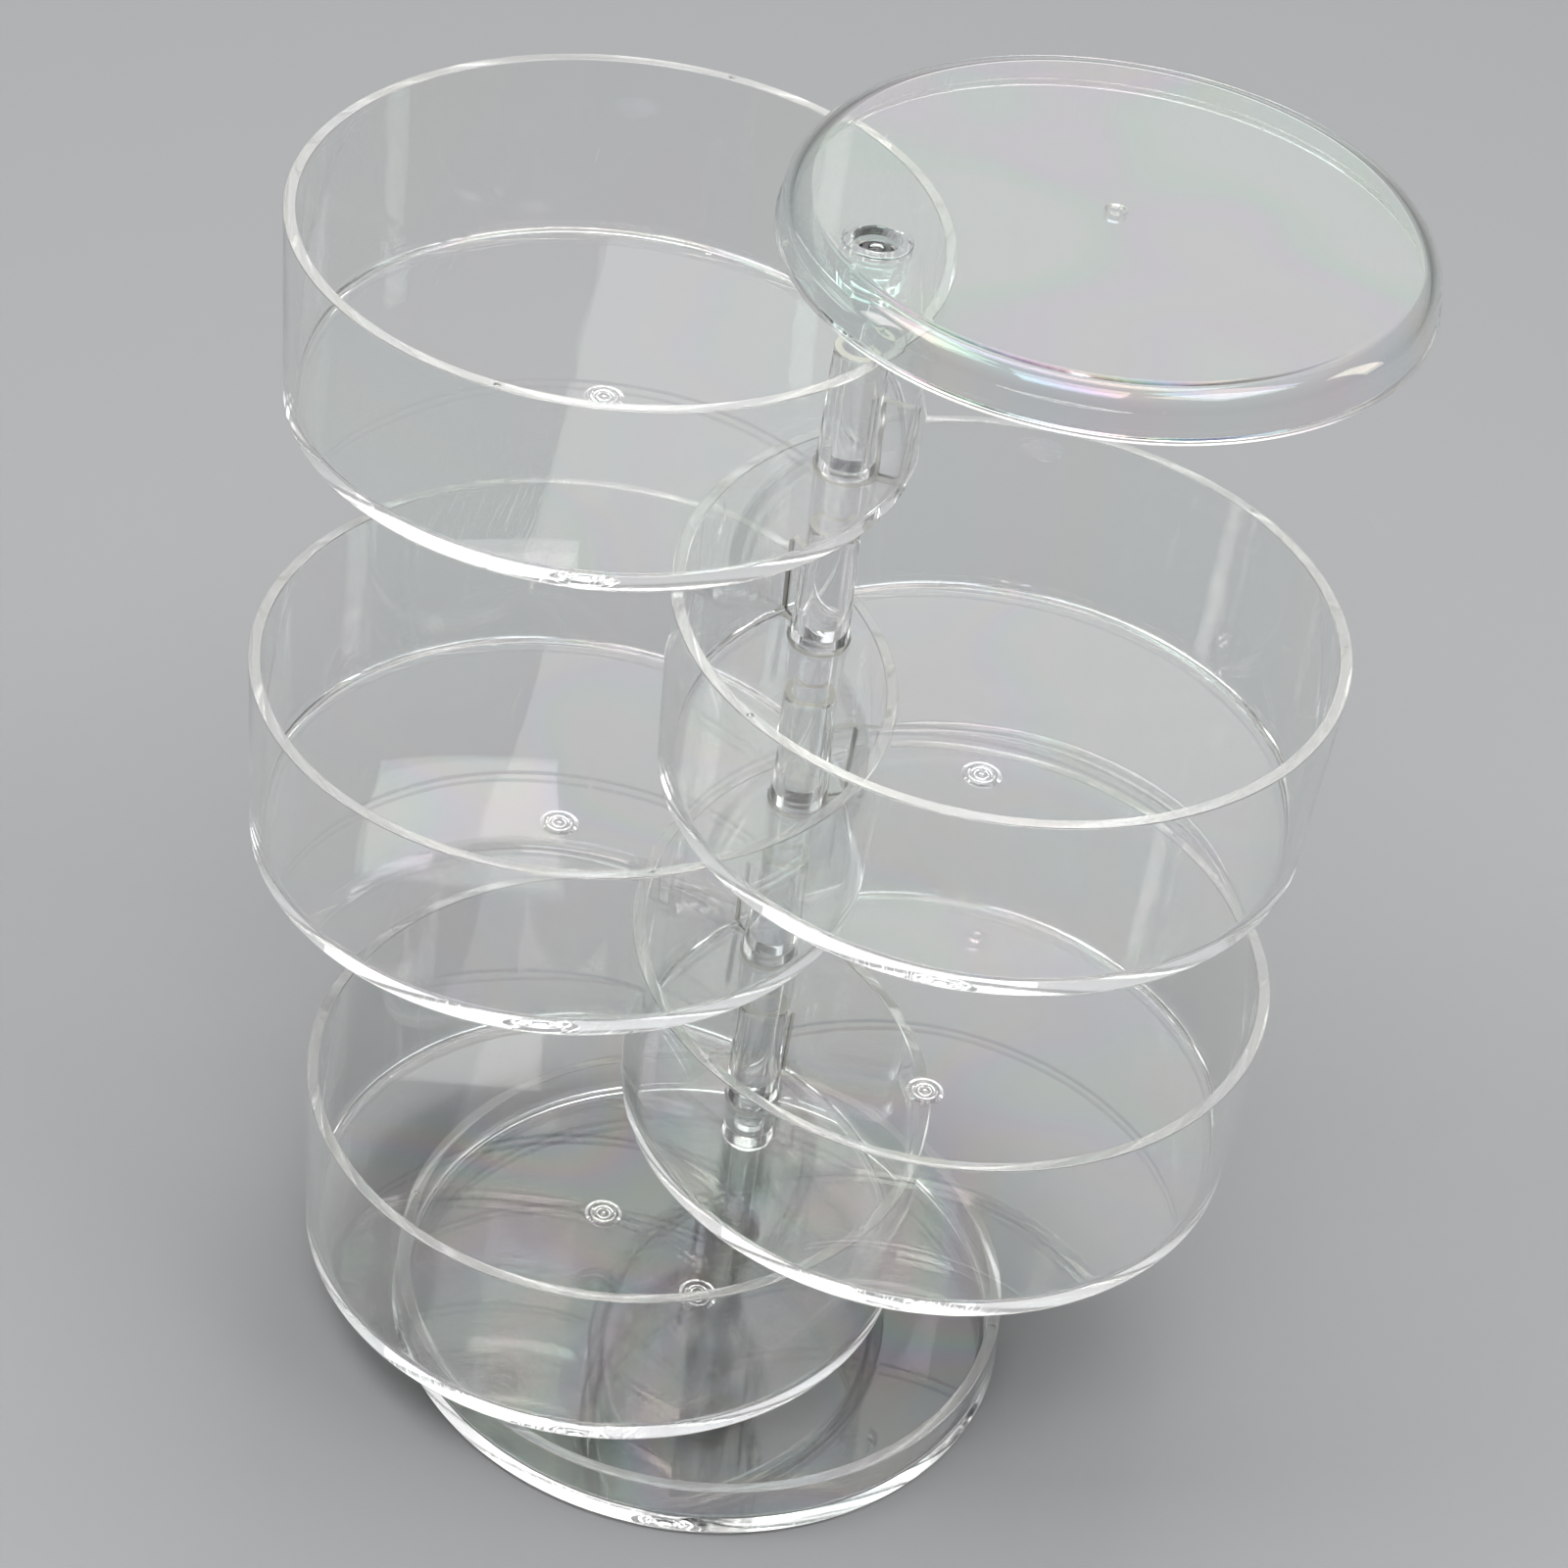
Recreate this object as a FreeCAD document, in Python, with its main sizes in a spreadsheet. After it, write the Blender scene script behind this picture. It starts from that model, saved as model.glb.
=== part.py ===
import FreeCAD, Part
import os
import Sketcher

# Swivel tray tower, all in clear polystyrene: a shallow dish base carries an upright rod near its
# edge. Five round trays and a lid swing on the rod, each on a sleeve moulded inside its wall.
# Millimetres. The origin is on the rod's axis at the base's underside, +Z up. A bearing is the
# direction from the rod to the middle of a tray, anticlockwise from +X.

doc = FreeCAD.newDocument("TrayTower")

# ---------------------------------------------------------------- driving dimensions
SIZES = [
    ("pivot_offset", 38.9, "middle of every tray, base and lid to the rod's axis"),
    ("wall", 1.9, "thickness of the side walls at the rim"),
    ("floor_thick", 2.0, "thickness of tray and base floors"),
    ("stack_gap", 0.5, "rim of one piece to the underside of the next"),
    ("tray_count", 5, "trays on the rod"),
    ("tray_height", 32.3, "tray underside to rim"),
    ("tray_rim_radius", 50.0, "outside of a tray at the rim"),
    ("tray_foot_radius", 48.85, "outside of a tray at the underside, after draft"),
    ("corner_outside", 0.7, "rounding of the outer bottom edge"),
    ("corner_inside", 1.3, "rounding between floor and wall inside"),
    ("rim_round", 0.2, "rounding of both rim edges"),
    ("sleeve_height", 22.6, "tray underside to the top of its sleeve"),
    ("sleeve_top_radius", 4.1, "outside of the sleeve at its top"),
    ("sleeve_foot_radius", 4.8, "outside of the sleeve at the tray's underside"),
    ("sleeve_pad", 0.25, "how far sleeve, web and nubs stand proud of the underside"),
    ("bore_radius", 2.6, "running bore on the rod"),
    ("bore_mouth_radius", 2.95, "lead-in at the top of the sleeve"),
    ("bore_mouth_depth", 2.0, "depth of the lead-in cone"),
    ("web_thick", 1.3, "plate between sleeve and tray wall"),
    ("web_height", 15.0, "tray underside to the top of the web"),
    ("nub_radius", 0.6, "rest nub under the tray's edge"),
    ("nub_circle_radius", 47.4, "distance of the nubs from the tray's middle"),
    ("dimple_radius", 0.6, "seat in the rim for the nub above"),
    ("dimple_depth", 0.3, "depth of that seat"),
    ("gate_ring_radius", 3.0, "outside of the moulding mark under the floor"),
    ("gate_pip_radius", 1.5, "pip in the middle of the moulding mark"),
    ("gate_depth", 0.9, "depth of the moulding mark"),
    ("base_height", 9.4, "underside to the rim of the base dish"),
    ("base_rim_radius", 49.5, "outside of the base at the rim"),
    ("base_foot_radius", 50.1, "outside of the base at the underside"),
    ("socket_foot_radius", 4.6, "boss round the rod at the base's floor"),
    ("socket_top_radius", 4.2, "boss round the rod at its top"),
    ("socket_height", 4.6, "underside to the top of the boss"),
    ("rod_radius", 2.5, "rod"),
    ("rod_seat", 0.7, "height of the rod's lower end above the underside"),
    ("rod_chamfer", 0.3, "chamfer of the rod's lower end"),
    ("head_radius", 3.0, "staked head at the rod's top"),
    ("head_thick", 1.1, "height of the staked head"),
    ("head_crown_radius", 2.1, "flat crown of the staked head"),
    ("head_gap", 0.3, "play between the head and the lid"),
    ("lid_height", 8.0, "skirt's lower edge to the flat top"),
    ("lid_bead_radius", 50.05, "outside of the bead at the skirt's lower edge"),
    ("lid_bead_height", 0.9, "height of that bead"),
    ("lid_skirt_radius", 49.6, "outside of the skirt just above the bead"),
    ("lid_flat_radius", 44.6, "flat part of the lid's top"),
    ("lid_shoulder", 4.5, "radius of the rounded shoulder"),
    ("lid_wall", 1.8, "thickness of the lid"),
    ("collar_radius", 5.3, "collar round the rod's head, on and under the lid"),
    ("collar_proud", 0.3, "how far the collar stands above the lid's top"),
    ("collar_step", 2.9, "collar's top to the step in its outside"),
    ("collar_foot_radius", 4.9, "outside of the collar at its lower end"),
    ("well_radius", 3.5, "well in the collar that takes the rod's head"),
    ("well_depth", 2.9, "collar's top to the floor of the well"),
    ("lid_gate_radius", 1.7, "moulding mark in the lid's top"),
    ("lid_gate_pip_radius", 0.8, "pip in the middle of that mark"),
    ("lid_gate_depth", 0.5, "depth of that mark"),
    ("bearing_base", -90.0, "bearing of the base"),
    ("bearing_tray_1", 172.1, "bearing of the top tray"),
    ("bearing_tray_2", -39.9, "bearing of the second tray"),
    ("bearing_tray_3", -153.4, "bearing of the third tray"),
    ("bearing_tray_4", -39.2, "bearing of the fourth tray"),
    ("bearing_tray_5", -117.2, "bearing of the bottom tray"),
    ("bearing_lid", 34.1, "bearing of the lid"),
]

sheet = doc.addObject("Spreadsheet::Sheet", "Sizes")
sheet.Label = "Sizes"
for row, (alias, value, note) in enumerate(SIZES, start=1):
    sheet.set("A%d" % row, str(value))
    sheet.setAlias("A%d" % row, alias)
    sheet.set("B%d" % row, note)
doc.recompute()


def size(expression):
    """The number that an expression of the sheet's sizes comes to."""
    result = sheet.evalExpression(expression)
    return float(getattr(result, "Value", result))


# ---------------------------------------------------------------- sketch and feature helpers
def origin_plane(body, role):
    for feature in body.Origin.OriginFeatures:
        if feature.Role == role:
            return feature
    raise ValueError(role)


def new_sketch(body, name, role, across="0", lift="0"):
    """A sketch on one of the body's origin planes, moved across along +X and lifted along +Z."""
    sketch = body.newObject("Sketcher::SketchObject", name)
    sketch.AttachmentSupport = [(origin_plane(body, role), "")]
    sketch.MapMode = "FlatFace"
    sketch.setExpression("AttachmentOffset.Base.x", across)
    # the XZ plane's sketch has its own Y along the body's Z, the XY plane's its own Z
    up = "y" if role == "XZ_Plane" else "z"
    sketch.setExpression("AttachmentOffset.Base." + up, lift)
    return sketch


def add_outline(sketch, corners):
    """A closed outline of straight lines through corners, each a pair of expressions."""
    points = [FreeCAD.Vector(size(x), size(y), 0) for x, y in corners]
    first = sketch.GeometryCount
    count = len(points)
    for index in range(count):
        sketch.addGeometry(Part.LineSegment(points[index], points[(index + 1) % count]))
    for index in range(count):
        line = first + index
        following = first + (index + 1) % count
        sketch.addConstraint(Sketcher.Constraint("Coincident", line, 2, following, 1))
        for kind, part in (("DistanceX", 0), ("DistanceY", 1)):
            value = points[index].x if part == 0 else points[index].y
            number = sketch.addConstraint(Sketcher.Constraint(kind, -1, 1, line, 1, value))
            sketch.renameConstraint(number, "%s_%d" % (kind, line))
            sketch.setExpression("Constraints.%s_%d" % (kind, line), corners[index][part])


def add_circle(sketch, across, up, radius):
    """A circle whose middle and radius are expressions."""
    centre = FreeCAD.Vector(size(across), size(up), 0)
    index = sketch.addGeometry(Part.Circle(centre, FreeCAD.Vector(0, 0, 1), size(radius)))
    named = (("DistanceX", across, centre.x), ("DistanceY", up, centre.y))
    for kind, expression, value in named:
        number = sketch.addConstraint(Sketcher.Constraint(kind, -1, 1, index, 3, value))
        sketch.renameConstraint(number, "%s_%d" % (kind, index))
        sketch.setExpression("Constraints.%s_%d" % (kind, index), expression)
    number = sketch.addConstraint(Sketcher.Constraint("Radius", index, size(radius)))
    sketch.renameConstraint(number, "Radius_%d" % index)
    sketch.setExpression("Constraints.Radius_%d" % index, radius)


def turn(body, kind, name, corners, across="0"):
    """A Revolution or Groove of an outline about the upright line at across."""
    sketch = new_sketch(body, name + "_outline", "XZ_Plane", across)
    add_outline(sketch, corners)
    feature = body.newObject("PartDesign::" + kind, name)
    feature.Profile = sketch
    feature.ReferenceAxis = (sketch, ["V_Axis"])
    feature.Angle = 360.0
    doc.recompute()
    return feature


def turned(body, name, corners, across="0"):
    return turn(body, "Revolution", name, corners, across)


def grooved(body, name, corners, across="0"):
    """A turned cut; it must take material away."""
    before = body.Shape.Volume
    feature = turn(body, "Groove", name, corners, across)
    if not feature.Shape.Volume < before - 1e-6:
        raise ValueError(name + " cuts nothing")
    return feature


def extruded(body, kind, name, sketch, length):
    """A Pad or Pocket along the sketch's own side, with its volume compared."""
    before = body.Shape.Volume
    feature = body.newObject("PartDesign::" + kind, name)
    feature.Profile = sketch
    feature.setExpression("Length", length)
    doc.recompute()
    grew = feature.Shape.Volume - before
    if (kind == "Pad") != (grew > 1e-6):
        raise ValueError(name + " changes nothing")
    return feature


def round_edge(body, name, circles):
    """Round circular edges of the body's last feature, each given by its height and radius."""
    base = body.Tip
    wanted = []
    for height, radius in circles:
        for number, edge in enumerate(base.Shape.Edges, start=1):
            curve = edge.Curve
            if curve.TypeId != "Part::GeomCircle":
                continue
            near = abs(curve.Center.z - height) < 1e-3 and abs(curve.Radius - radius) < 1e-3
            if near and abs(curve.Center.x - size("Sizes.pivot_offset")) < 1e-3:
                wanted.append("Edge%d" % number)
    if len(wanted) != len(circles):
        raise ValueError(name + " finds %d edges" % len(wanted))
    fillet = body.newObject("PartDesign::Fillet", name)
    fillet.Base = (base, wanted)
    return fillet


def new_body(label, bearing, lift):
    """A body whose own origin is on the rod's axis, turned to its bearing and lifted."""
    body = doc.addObject("PartDesign::Body", label)
    body.Label = label
    body.setExpression("Placement.Rotation.Angle", "%s * 1 deg" % bearing)
    body.setExpression("Placement.Base.z", lift)
    return body


# ---------------------------------------------------------------- shared shapes
def dish(body, height, foot, rim):
    """The turned cup of a tray or of the base: drafted wall, flat floor, rounded corners."""
    draft = "(%s - %s) / %s" % (rim, foot, height)
    inner_foot = "%s + (%s) * Sizes.floor_thick - Sizes.wall" % (foot, draft)
    turned(body, "cup", [
        ("0", "0"),
        (foot, "0"),
        (rim, height),
        (rim + " - Sizes.wall", height),
        (inner_foot, "Sizes.floor_thick"),
        ("0", "Sizes.floor_thick"),
    ], "Sizes.pivot_offset")
    corner = round_edge(body, "outer_corner", [(0, size(foot))])
    corner.setExpression("Radius", "Sizes.corner_outside")
    doc.recompute()
    corner = round_edge(body, "inner_corner", [(size("Sizes.floor_thick"), size(inner_foot))])
    corner.setExpression("Radius", "Sizes.corner_inside")
    doc.recompute()
    rims = [(size(height), size(rim)), (size(height), size(rim + " - Sizes.wall"))]
    corner = round_edge(body, "rim_edges", rims)
    corner.setExpression("Radius", "Sizes.rim_round")
    doc.recompute()


def moulding_mark(body):
    """A ring-shaped dish with a pip in it, cut up into the floor from below."""
    ring = "Sizes.gate_ring_radius"
    pip = "Sizes.gate_pip_radius"
    deep = "Sizes.gate_depth"
    grooved(body, "moulding_mark", [
        (pip, "0"),
        (ring, "0"),
        ("%s + (%s - %s) * 0.7" % (pip, ring, pip), deep + " * 0.75"),
        ("%s + (%s - %s) * 0.35" % (pip, ring, pip), deep),
        (pip + " * 0.9", deep + " * 0.6"),
        (pip + " * 0.9", "0"),
    ], "Sizes.pivot_offset")


def rest_nubs(body):
    """Two nubs under the edge, square to the line from the rod to the middle."""
    sketch = new_sketch(body, "nub_circles", "XY_Plane", "Sizes.pivot_offset",
                        "-Sizes.sleeve_pad")
    for side in ("", "-"):
        add_circle(sketch, "0", side + "Sizes.nub_circle_radius", "Sizes.nub_radius")
    extruded(body, "Pad", "nubs", sketch, "Sizes.sleeve_pad + Sizes.floor_thick / 2")


def rim_dimples(body, height, rim):
    """Two seats in the rim, where the nubs of the tray above come to rest."""
    sketch = new_sketch(body, "dimple_circles", "XY_Plane", "Sizes.pivot_offset", height)
    middle = rim + " - Sizes.wall / 2"
    for side in ("", "-"):
        add_circle(sketch, "0", "%s(%s)" % (side, middle), "Sizes.dimple_radius")
    extruded(body, "Pocket", "dimples", sketch, "Sizes.dimple_depth")


# ---------------------------------------------------------------- the pieces
def make_base():
    body = new_body("base", "Sizes.bearing_base", "0")
    dish(body, "Sizes.base_height", "Sizes.base_foot_radius", "Sizes.base_rim_radius")
    turned(body, "socket_boss", [
        ("0", "Sizes.floor_thick / 2"),
        ("Sizes.socket_foot_radius", "Sizes.floor_thick / 2"),
        ("Sizes.socket_foot_radius", "Sizes.floor_thick"),
        ("Sizes.socket_top_radius", "Sizes.socket_height"),
        ("0", "Sizes.socket_height"),
    ])
    grooved(body, "socket", [
        ("0", "Sizes.rod_seat"),
        ("Sizes.rod_radius - Sizes.rod_chamfer", "Sizes.rod_seat"),
        ("Sizes.rod_radius", "Sizes.rod_seat + Sizes.rod_chamfer"),
        ("Sizes.rod_radius", "Sizes.socket_height + 1"),
        ("0", "Sizes.socket_height + 1"),
    ])
    moulding_mark(body)
    rim_dimples(body, "Sizes.base_height", "Sizes.base_rim_radius")
    return body


TRAY_PITCH = "(Sizes.tray_height + Sizes.stack_gap)"
LID_LIFT = "Sizes.base_height + Sizes.stack_gap + Sizes.tray_count * " + TRAY_PITCH


def make_tray(number):
    """Tray 1 is the top one."""
    below = "(Sizes.tray_count - %d)" % number
    lift = "Sizes.base_height + Sizes.stack_gap + %s * %s" % (below, TRAY_PITCH)
    body = new_body("tray_%d" % number, "Sizes.bearing_tray_%d" % number, lift)
    dish(body, "Sizes.tray_height", "Sizes.tray_foot_radius", "Sizes.tray_rim_radius")
    turned(body, "sleeve", [
        ("0", "-Sizes.sleeve_pad"),
        ("Sizes.sleeve_foot_radius", "-Sizes.sleeve_pad"),
        ("Sizes.sleeve_top_radius", "Sizes.sleeve_height"),
        ("0", "Sizes.sleeve_height"),
    ])
    # the web runs from inside the sleeve's wall to inside the tray's wall
    outer_end = "-(Sizes.tray_foot_radius - Sizes.pivot_offset - Sizes.wall / 2)"
    inner_end = "-(Sizes.bore_radius + Sizes.sleeve_top_radius) / 2"
    sketch = new_sketch(body, "web_outline", "XY_Plane", "0", "-Sizes.sleeve_pad")
    add_outline(sketch, [
        (outer_end, "-Sizes.web_thick / 2"),
        (inner_end, "-Sizes.web_thick / 2"),
        (inner_end, "Sizes.web_thick / 2"),
        (outer_end, "Sizes.web_thick / 2"),
    ])
    extruded(body, "Pad", "web", sketch, "Sizes.web_height + Sizes.sleeve_pad")
    grooved(body, "bore", [
        ("0", "-Sizes.sleeve_pad - 1"),
        ("Sizes.bore_radius", "-Sizes.sleeve_pad - 1"),
        ("Sizes.bore_radius", "Sizes.sleeve_height - Sizes.bore_mouth_depth"),
        ("Sizes.bore_mouth_radius", "Sizes.sleeve_height"),
        ("0", "Sizes.sleeve_height"),
    ])
    rest_nubs(body)
    moulding_mark(body)
    rim_dimples(body, "Sizes.tray_height", "Sizes.tray_rim_radius")
    return body


def make_lid():
    body = new_body("lid", "Sizes.bearing_lid", LID_LIFT)
    top = "Sizes.lid_height"
    flat = "Sizes.lid_flat_radius"
    shoulder = "(Sizes.lid_flat_radius + Sizes.lid_shoulder)"
    turned(body, "shell", [
        ("0", top),
        ("0", top + " - Sizes.lid_wall"),
        (shoulder + " - Sizes.lid_wall", top + " - Sizes.lid_wall"),
        ("Sizes.lid_bead_radius - Sizes.wall", "0"),
        ("Sizes.lid_bead_radius", "0"),
        ("Sizes.lid_bead_radius", "Sizes.lid_bead_height"),
        ("Sizes.lid_skirt_radius", "Sizes.lid_bead_height + 0.3"),
        (shoulder, top),
    ], "Sizes.pivot_offset")
    rounding = round_edge(body, "shoulder", [(size(top), size(shoulder))])
    rounding.setExpression("Radius", "Sizes.lid_shoulder")
    doc.recompute()
    inner = (size(top + " - Sizes.lid_wall"), size(shoulder + " - Sizes.lid_wall"))
    rounding = round_edge(body, "inner_shoulder", [inner])
    rounding.setExpression("Radius", "Sizes.lid_shoulder - Sizes.lid_wall")
    doc.recompute()
    crown = top + " + Sizes.collar_proud"
    turned(body, "collar", [
        ("0", "0"),
        ("Sizes.collar_foot_radius", "0"),
        ("Sizes.collar_foot_radius + 0.1", crown + " - Sizes.collar_step - 0.3"),
        ("Sizes.collar_radius", crown + " - Sizes.collar_step"),
        ("Sizes.collar_radius", crown),
        ("0", crown),
    ])
    grooved(body, "bore_and_well", [
        ("0", "-1"),
        ("Sizes.bore_radius", "-1"),
        ("Sizes.bore_radius", crown + " - Sizes.well_depth"),
        ("Sizes.well_radius", crown + " - Sizes.well_depth"),
        ("Sizes.well_radius", crown + " + 1"),
        ("0", crown + " + 1"),
    ])
    deep = "Sizes.lid_gate_depth"
    grooved(body, "moulding_mark", [
        ("Sizes.lid_gate_pip_radius", top),
        ("Sizes.lid_gate_radius", top),
        ("Sizes.lid_gate_pip_radius", top + " - " + deep),
    ], "Sizes.pivot_offset")
    return body


def make_rod():
    body = new_body("centre_rod", "Sizes.bearing_base", "0")
    well_floor = LID_LIFT + " + Sizes.lid_height + Sizes.collar_proud - Sizes.well_depth"
    under_head = well_floor + " + Sizes.head_gap"
    crown = under_head + " + Sizes.head_thick"
    turned(body, "rod", [
        ("0", "Sizes.rod_seat"),
        ("Sizes.rod_radius - Sizes.rod_chamfer", "Sizes.rod_seat"),
        ("Sizes.rod_radius", "Sizes.rod_seat + Sizes.rod_chamfer"),
        ("Sizes.rod_radius", under_head),
        ("Sizes.head_radius", under_head),
        ("Sizes.head_radius", under_head + " + Sizes.head_thick / 2"),
        ("Sizes.head_crown_radius", crown),
        ("0", crown),
    ])
    return body


pieces = [make_base(), make_rod(), make_lid()]
for number in range(1, int(size("Sizes.tray_count")) + 1):
    pieces.append(make_tray(number))
doc.recompute()

# ---------------------------------------------------------------- checks and export
for item in doc.Objects:
    if "Invalid" in item.State or "Error" in item.State:
        raise RuntimeError("%s is %s" % (item.Name, item.State))

os.makedirs("parts", exist_ok=True)
for body in pieces:
    shape = body.Shape
    if shape.isNull() or not shape.isValid() or len(shape.Solids) != 1:
        raise RuntimeError(body.Label + " is not one valid solid")
    shape.exportStep("parts/%s.step" % body.Label)
    box = shape.BoundBox
    print("%-11s %8.1f mm3  x %.1f..%.1f  y %.1f..%.1f  z %.2f..%.2f" % (
        body.Label, shape.Volume, box.XMin, box.XMax, box.YMin, box.YMax, box.ZMin, box.ZMax))
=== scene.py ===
import math

import bmesh
import bpy
from mathutils import Matrix, Vector


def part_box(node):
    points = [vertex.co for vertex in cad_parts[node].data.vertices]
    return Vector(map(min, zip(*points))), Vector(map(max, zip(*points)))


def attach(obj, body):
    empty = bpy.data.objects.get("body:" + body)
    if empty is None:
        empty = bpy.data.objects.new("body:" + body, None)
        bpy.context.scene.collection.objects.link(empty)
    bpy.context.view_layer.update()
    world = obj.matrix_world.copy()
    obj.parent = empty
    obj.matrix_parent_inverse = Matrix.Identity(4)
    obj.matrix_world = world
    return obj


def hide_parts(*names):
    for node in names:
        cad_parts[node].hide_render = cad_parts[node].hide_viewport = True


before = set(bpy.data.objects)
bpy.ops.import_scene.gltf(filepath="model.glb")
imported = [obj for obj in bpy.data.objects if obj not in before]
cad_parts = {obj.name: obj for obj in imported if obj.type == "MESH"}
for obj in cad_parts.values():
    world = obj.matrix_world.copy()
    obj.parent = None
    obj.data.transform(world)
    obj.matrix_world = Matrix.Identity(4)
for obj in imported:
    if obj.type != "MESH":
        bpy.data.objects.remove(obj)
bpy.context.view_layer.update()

# A tower of clear polystyrene trays that swing on one upright rod. Every piece is built in
# millimetres with the rod's axis at the origin and the piece's middle along +X, then it is turned
# and lifted to the place of its CAD node, and brought to metres.
MM = 0.001

# ---------------------------------------------------------------- sizes, millimetres
WALL = 1.9
FLOOR = 2.0
RIM_ROUND = 0.22
CORNER_OUTSIDE = 0.7
CORNER_INSIDE = 1.3
PAD = 0.25                # sleeve, web and nubs stand proud of the underside
BORE = 2.6                # radii of the sleeve's bore and of the rod
ROD = 2.5
ROD_HEAD = 2.95
ROD_HEAD_HEIGHT = 1.1
TRAY_HEIGHT = 32.3
TRAY_RIM = 50.0
TRAY_FOOT = 48.85
SLEEVE_HEIGHT = 22.6
SLEEVE_TOP = 4.1
SLEEVE_FOOT = 4.8
BORE_MOUTH = 2.95
BORE_MOUTH_DEPTH = 2.0
WEB_HEIGHT = 15.0
WEB_THICK = 1.3
WEB_FLARE = 0.5           # where the web widens into sleeve and wall
WEB_FLARE_STEPS = 6
NUB = 0.6                 # rest nub's radius, and its distance from the tray's middle
NUB_CIRCLE = 47.4
BASE_HEIGHT = 9.4
BASE_RIM = 49.5
BASE_FOOT = 50.1
BOSS_HEIGHT = 4.6
SOCKET_FLOOR = 0.68       # height of the blind socket's bottom
SOCKET_GAP = 0.03         # keeps the pressed faces of socket and rod from lying in one place
SUNK = 0.03               # how far under a floor's surface the foot of a sleeve or boss starts
LID_HEIGHT = 8.0
LID_WALL = 1.8
LID_SHOULDER_OUT = 49.1
LID_SKIRT = 49.6
LID_BEAD = 50.05          # the bead along the skirt's lower edge
LID_BEAD_HEIGHT = 0.9
COLLAR = 5.3
COLLAR_CROWN = 8.3        # collar's top above the skirt's lower edge
WELL = 3.5                # the well that the rod's head sits in
WELL_DEPTH = 2.9

NEAR_ROD = 10.0           # sleeve and web lie within this distance of the rod's axis

ROUND = 256               # divisions round a tray
SMALL_ROUND = 72          # divisions round a sleeve, rod or collar
TINY_ROUND = 24           # divisions round a nub or dimple
REACH_LIMIT = 0.75        # the most of a straight stretch that one corner's rounding may take


# ---------------------------------------------------------------- mesh helpers
def rounded(points):
    """The outline through (radius, height, rounding) points, its corners turned into arcs."""
    outline = []
    count = len(points)
    for index, (r, z, rounding) in enumerate(points):
        here = Vector((r, z))
        if rounding == 0:
            outline.append(here)
            continue
        before = Vector(points[index - 1][:2]) - here
        after = Vector(points[(index + 1) % count][:2]) - here
        half = before.angle(after) / 2
        reach = min(rounding / math.tan(half), REACH_LIMIT * before.length, REACH_LIMIT * after.length)
        start = here + before.normalized() * reach
        end = here + after.normalized() * reach
        radius = reach * math.tan(half)
        inward = (before.normalized() + after.normalized()).normalized()
        middle = here + inward * (radius / math.sin(half))
        steps = max(3, min(12, round(radius * 6)))
        first, last = start - middle, end - middle
        sweep = first.angle_signed(last)
        for step in range(steps + 1):
            turn = Matrix.Rotation(-sweep * step / steps, 2)
            outline.append(middle + turn @ first)
    return outline


def new_object(name, mesh):
    piece = bpy.data.objects.new(name, mesh)
    bpy.context.scene.collection.objects.link(piece)
    return piece


def lathe(name, points, middle=(0.0, 0.0), around=SMALL_ROUND):
    """A solid of revolution about the upright line at middle; points on the axis close it."""
    bm = bmesh.new()
    rings = []
    for r, z in rounded(points):
        if r < 1e-6:
            rings.append([bm.verts.new((middle[0], middle[1], z))])
            continue
        ring = []
        for index in range(around):
            angle = 2 * math.pi * index / around
            x = middle[0] + r * math.cos(angle)
            y = middle[1] + r * math.sin(angle)
            ring.append(bm.verts.new((x, y, z)))
        rings.append(ring)
    for index in range(len(rings)):
        lower, upper = rings[index - 1], rings[index]
        if len(lower) == 1 and len(upper) == 1:
            continue
        for k in range(around):
            k2 = (k + 1) % around
            if len(lower) == 1:
                bm.faces.new((lower[0], upper[k2], upper[k]))
            elif len(upper) == 1:
                bm.faces.new((lower[k], lower[k2], upper[0]))
            else:
                bm.faces.new((lower[k], lower[k2], upper[k2], upper[k]))
    bmesh.ops.recalc_face_normals(bm, faces=bm.faces)
    mesh = bpy.data.meshes.new(name)
    bm.to_mesh(mesh)
    bm.free()
    return new_object(name, mesh)


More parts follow.
